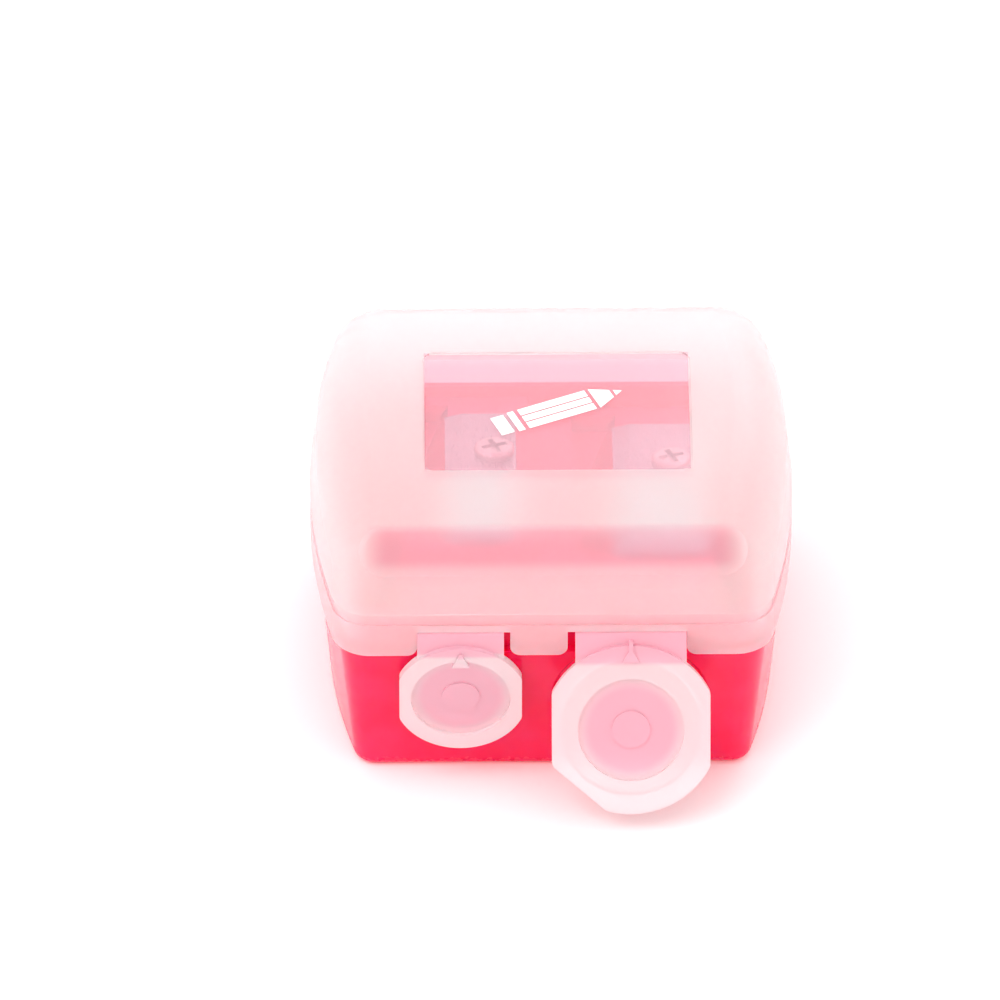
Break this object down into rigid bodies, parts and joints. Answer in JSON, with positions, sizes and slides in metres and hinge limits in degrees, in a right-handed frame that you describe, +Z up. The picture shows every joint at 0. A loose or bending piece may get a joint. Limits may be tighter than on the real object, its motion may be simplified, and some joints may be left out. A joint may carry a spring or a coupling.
{
  "type": "pencil sharpener",
  "caption": "Handheld cosmetic pencil sharpener: tub for shavings, frosted lift-off lid and a hinged plug cap over each of its pencil holes.",
  "frame": {"origin": "centre of the tub's footprint, on the surface it stands on", "axes": "+Z up, -Y towards the front wall with the pencil holes, +X to the right seen from the front"},
  "size_m": [0.042, 0.0441, 0.027],
  "materials": {
    "tub_plastic": "glossy injection-moulded red plastic",
    "insert_plastic": "satin injection-moulded red plastic",
    "blade_steel": "ground and hardened steel strip",
    "screw_steel": "zinc-plated steel",
    "lid_plastic": "frosted translucent polypropylene with a polished window",
    "cap_plastic": "translucent polypropylene"
  },
  "bodies": {
    "base": {"tub": "tub_plastic", "insert": "insert_plastic", "small_blade": "blade_steel", "large_blade": "blade_steel", "small_blade_screw": "screw_steel", "large_blade_screw": "screw_steel"},
    "cover": {"lid": "lid_plastic"},
    "small_plug": {"small_cap": "cap_plastic"},
    "large_plug": {"large_cap": "cap_plastic"}
  },
  "joints": [
    {"name": "lid_lift", "type": "slide", "parent": "base", "child": "cover", "axis": [0, -0.0785, 0.9969], "range_m": [0, 0.014]},
    {"name": "small_cap_hinge", "type": "hinge", "parent": "cover", "child": "small_plug", "pos_m": [-0.008, -0.0184, 0.0164], "axis": [-1, 0, 0], "range_deg": [-2.8, 118]},
    {"name": "large_cap_hinge", "type": "hinge", "parent": "cover", "child": "large_plug", "pos_m": [0.0067, -0.0184, 0.0164], "axis": [-1, 0, 0], "range_deg": [-28.2, 93]}
  ]
}
